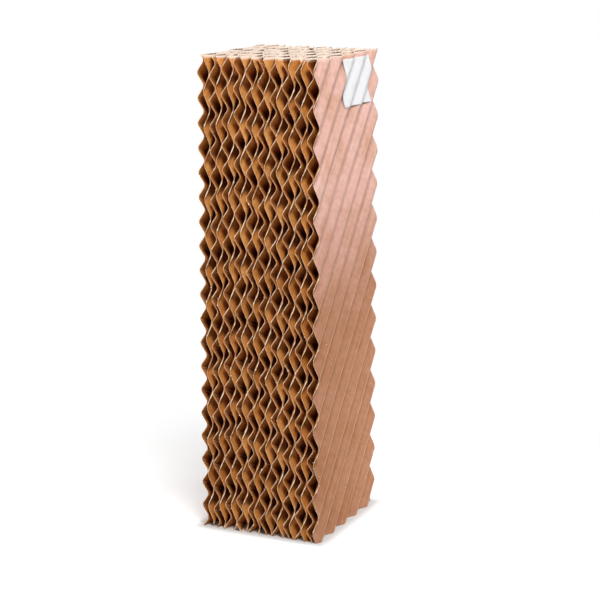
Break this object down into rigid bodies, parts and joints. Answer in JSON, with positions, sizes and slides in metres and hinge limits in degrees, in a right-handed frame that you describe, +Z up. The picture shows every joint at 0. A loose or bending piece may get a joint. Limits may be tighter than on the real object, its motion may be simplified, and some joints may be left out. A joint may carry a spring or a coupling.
{
  "type": "evaporative cooling pad",
  "caption": "Free-standing block of corrugated paper sheets glued crest to crest with crossing flutes, which cools and moistens air that is drawn through its depth.",
  "frame": {"origin": "under the middle of the pad, on the surface that it stands on", "axes": "+X across the stack of sheets towards the end with the label, +Y from the air inlet face to the back, +Z up"},
  "size_m": [0.1382, 0.152, 0.508],
  "materials": {
    "sheet": "matt resin-stiffened brown paper",
    "label": "plain white gummed paper"
  },
  "bodies": {
    "root": {"shallow_sheet_01": "sheet", "steep_sheet_02": "sheet", "shallow_sheet_03": "sheet", "steep_sheet_04": "sheet", "shallow_sheet_05": "sheet", "steep_sheet_06": "sheet", "shallow_sheet_07": "sheet", "steep_sheet_08": "sheet", "shallow_sheet_09": "sheet", "steep_sheet_10": "sheet", "shallow_sheet_11": "sheet", "steep_sheet_12": "sheet", "shallow_sheet_13": "sheet", "steep_sheet_14": "sheet", "shallow_sheet_15": "sheet", "steep_sheet_16": "sheet", "shallow_sheet_17": "sheet", "steep_sheet_18": "sheet", "shallow_sheet_19": "sheet", "steep_sheet_20": "sheet", "label": "label"}
  },
  "joints": []
}
